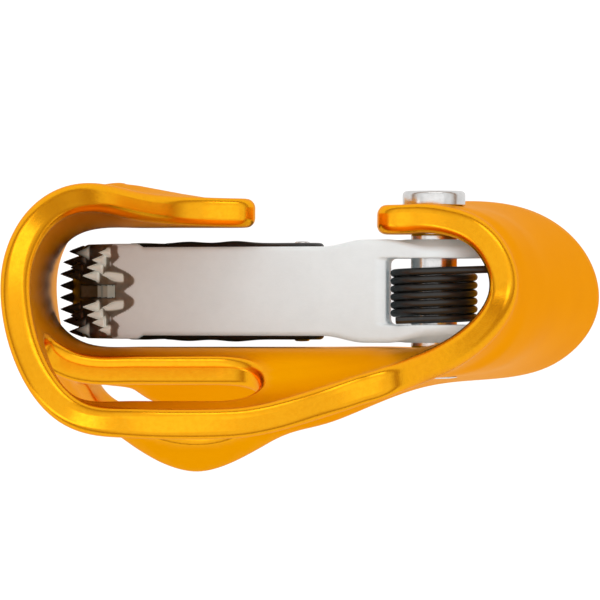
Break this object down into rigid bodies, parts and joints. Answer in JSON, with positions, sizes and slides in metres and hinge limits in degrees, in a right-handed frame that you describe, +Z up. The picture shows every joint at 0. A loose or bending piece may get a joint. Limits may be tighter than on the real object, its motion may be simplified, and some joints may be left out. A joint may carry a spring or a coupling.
{
  "type": "rope clamp ascender",
  "caption": "Compact rope ascender: bent anodised channel plate with a spring-closed toothed steel cam and a black safety catch.",
  "frame": {"origin": "on the centre line of the rope in the closed channel, level with the cam axle and half-way between the ears of the cam", "axes": "+Z up along the loaded rope; -Y the open front side the rope goes in by; +X from the axle towards the bend that holds the rope"},
  "size_m": [0.0762, 0.0398, 0.1039],
  "materials": {
    "anodised_frame": "satin orange-gold anodising",
    "cast_steel": "bead-blasted stainless casting",
    "polished_steel": "polished",
    "black_wire": "black coated spring wire",
    "black_plastic": "fine matt texture",
    "spring_steel": "drawn wire"
  },
  "bodies": {
    "plate": {"frame": "anodised_frame", "cam_axle": "polished_steel", "axle_sleeve": "polished_steel", "cam_spring": "black_wire"},
    "clamp_cam": {"cam": "cast_steel", "catch_pin": "polished_steel", "catch_spring": "spring_steel"},
    "catch": {"safety_catch": "black_plastic"}
  },
  "joints": [
    {"name": "cam_pivot", "type": "hinge", "parent": "plate", "child": "clamp_cam", "pos_m": [-0.0435, 0, 0], "axis": [0, 1, 0], "range_deg": [0, 50], "stiffness_Nm_per_rad": 0.08, "springref_deg": -34.38, "deforming": ["cam_spring"]},
    {"name": "catch_pivot", "type": "hinge", "parent": "clamp_cam", "child": "catch", "pos_m": [-0.027, 0, -0.0074], "axis": [0, 1, 0], "range_deg": [0, 12], "stiffness_Nm_per_rad": 0.02, "springref_deg": -17.19, "deforming": ["catch_spring"]}
  ]
}
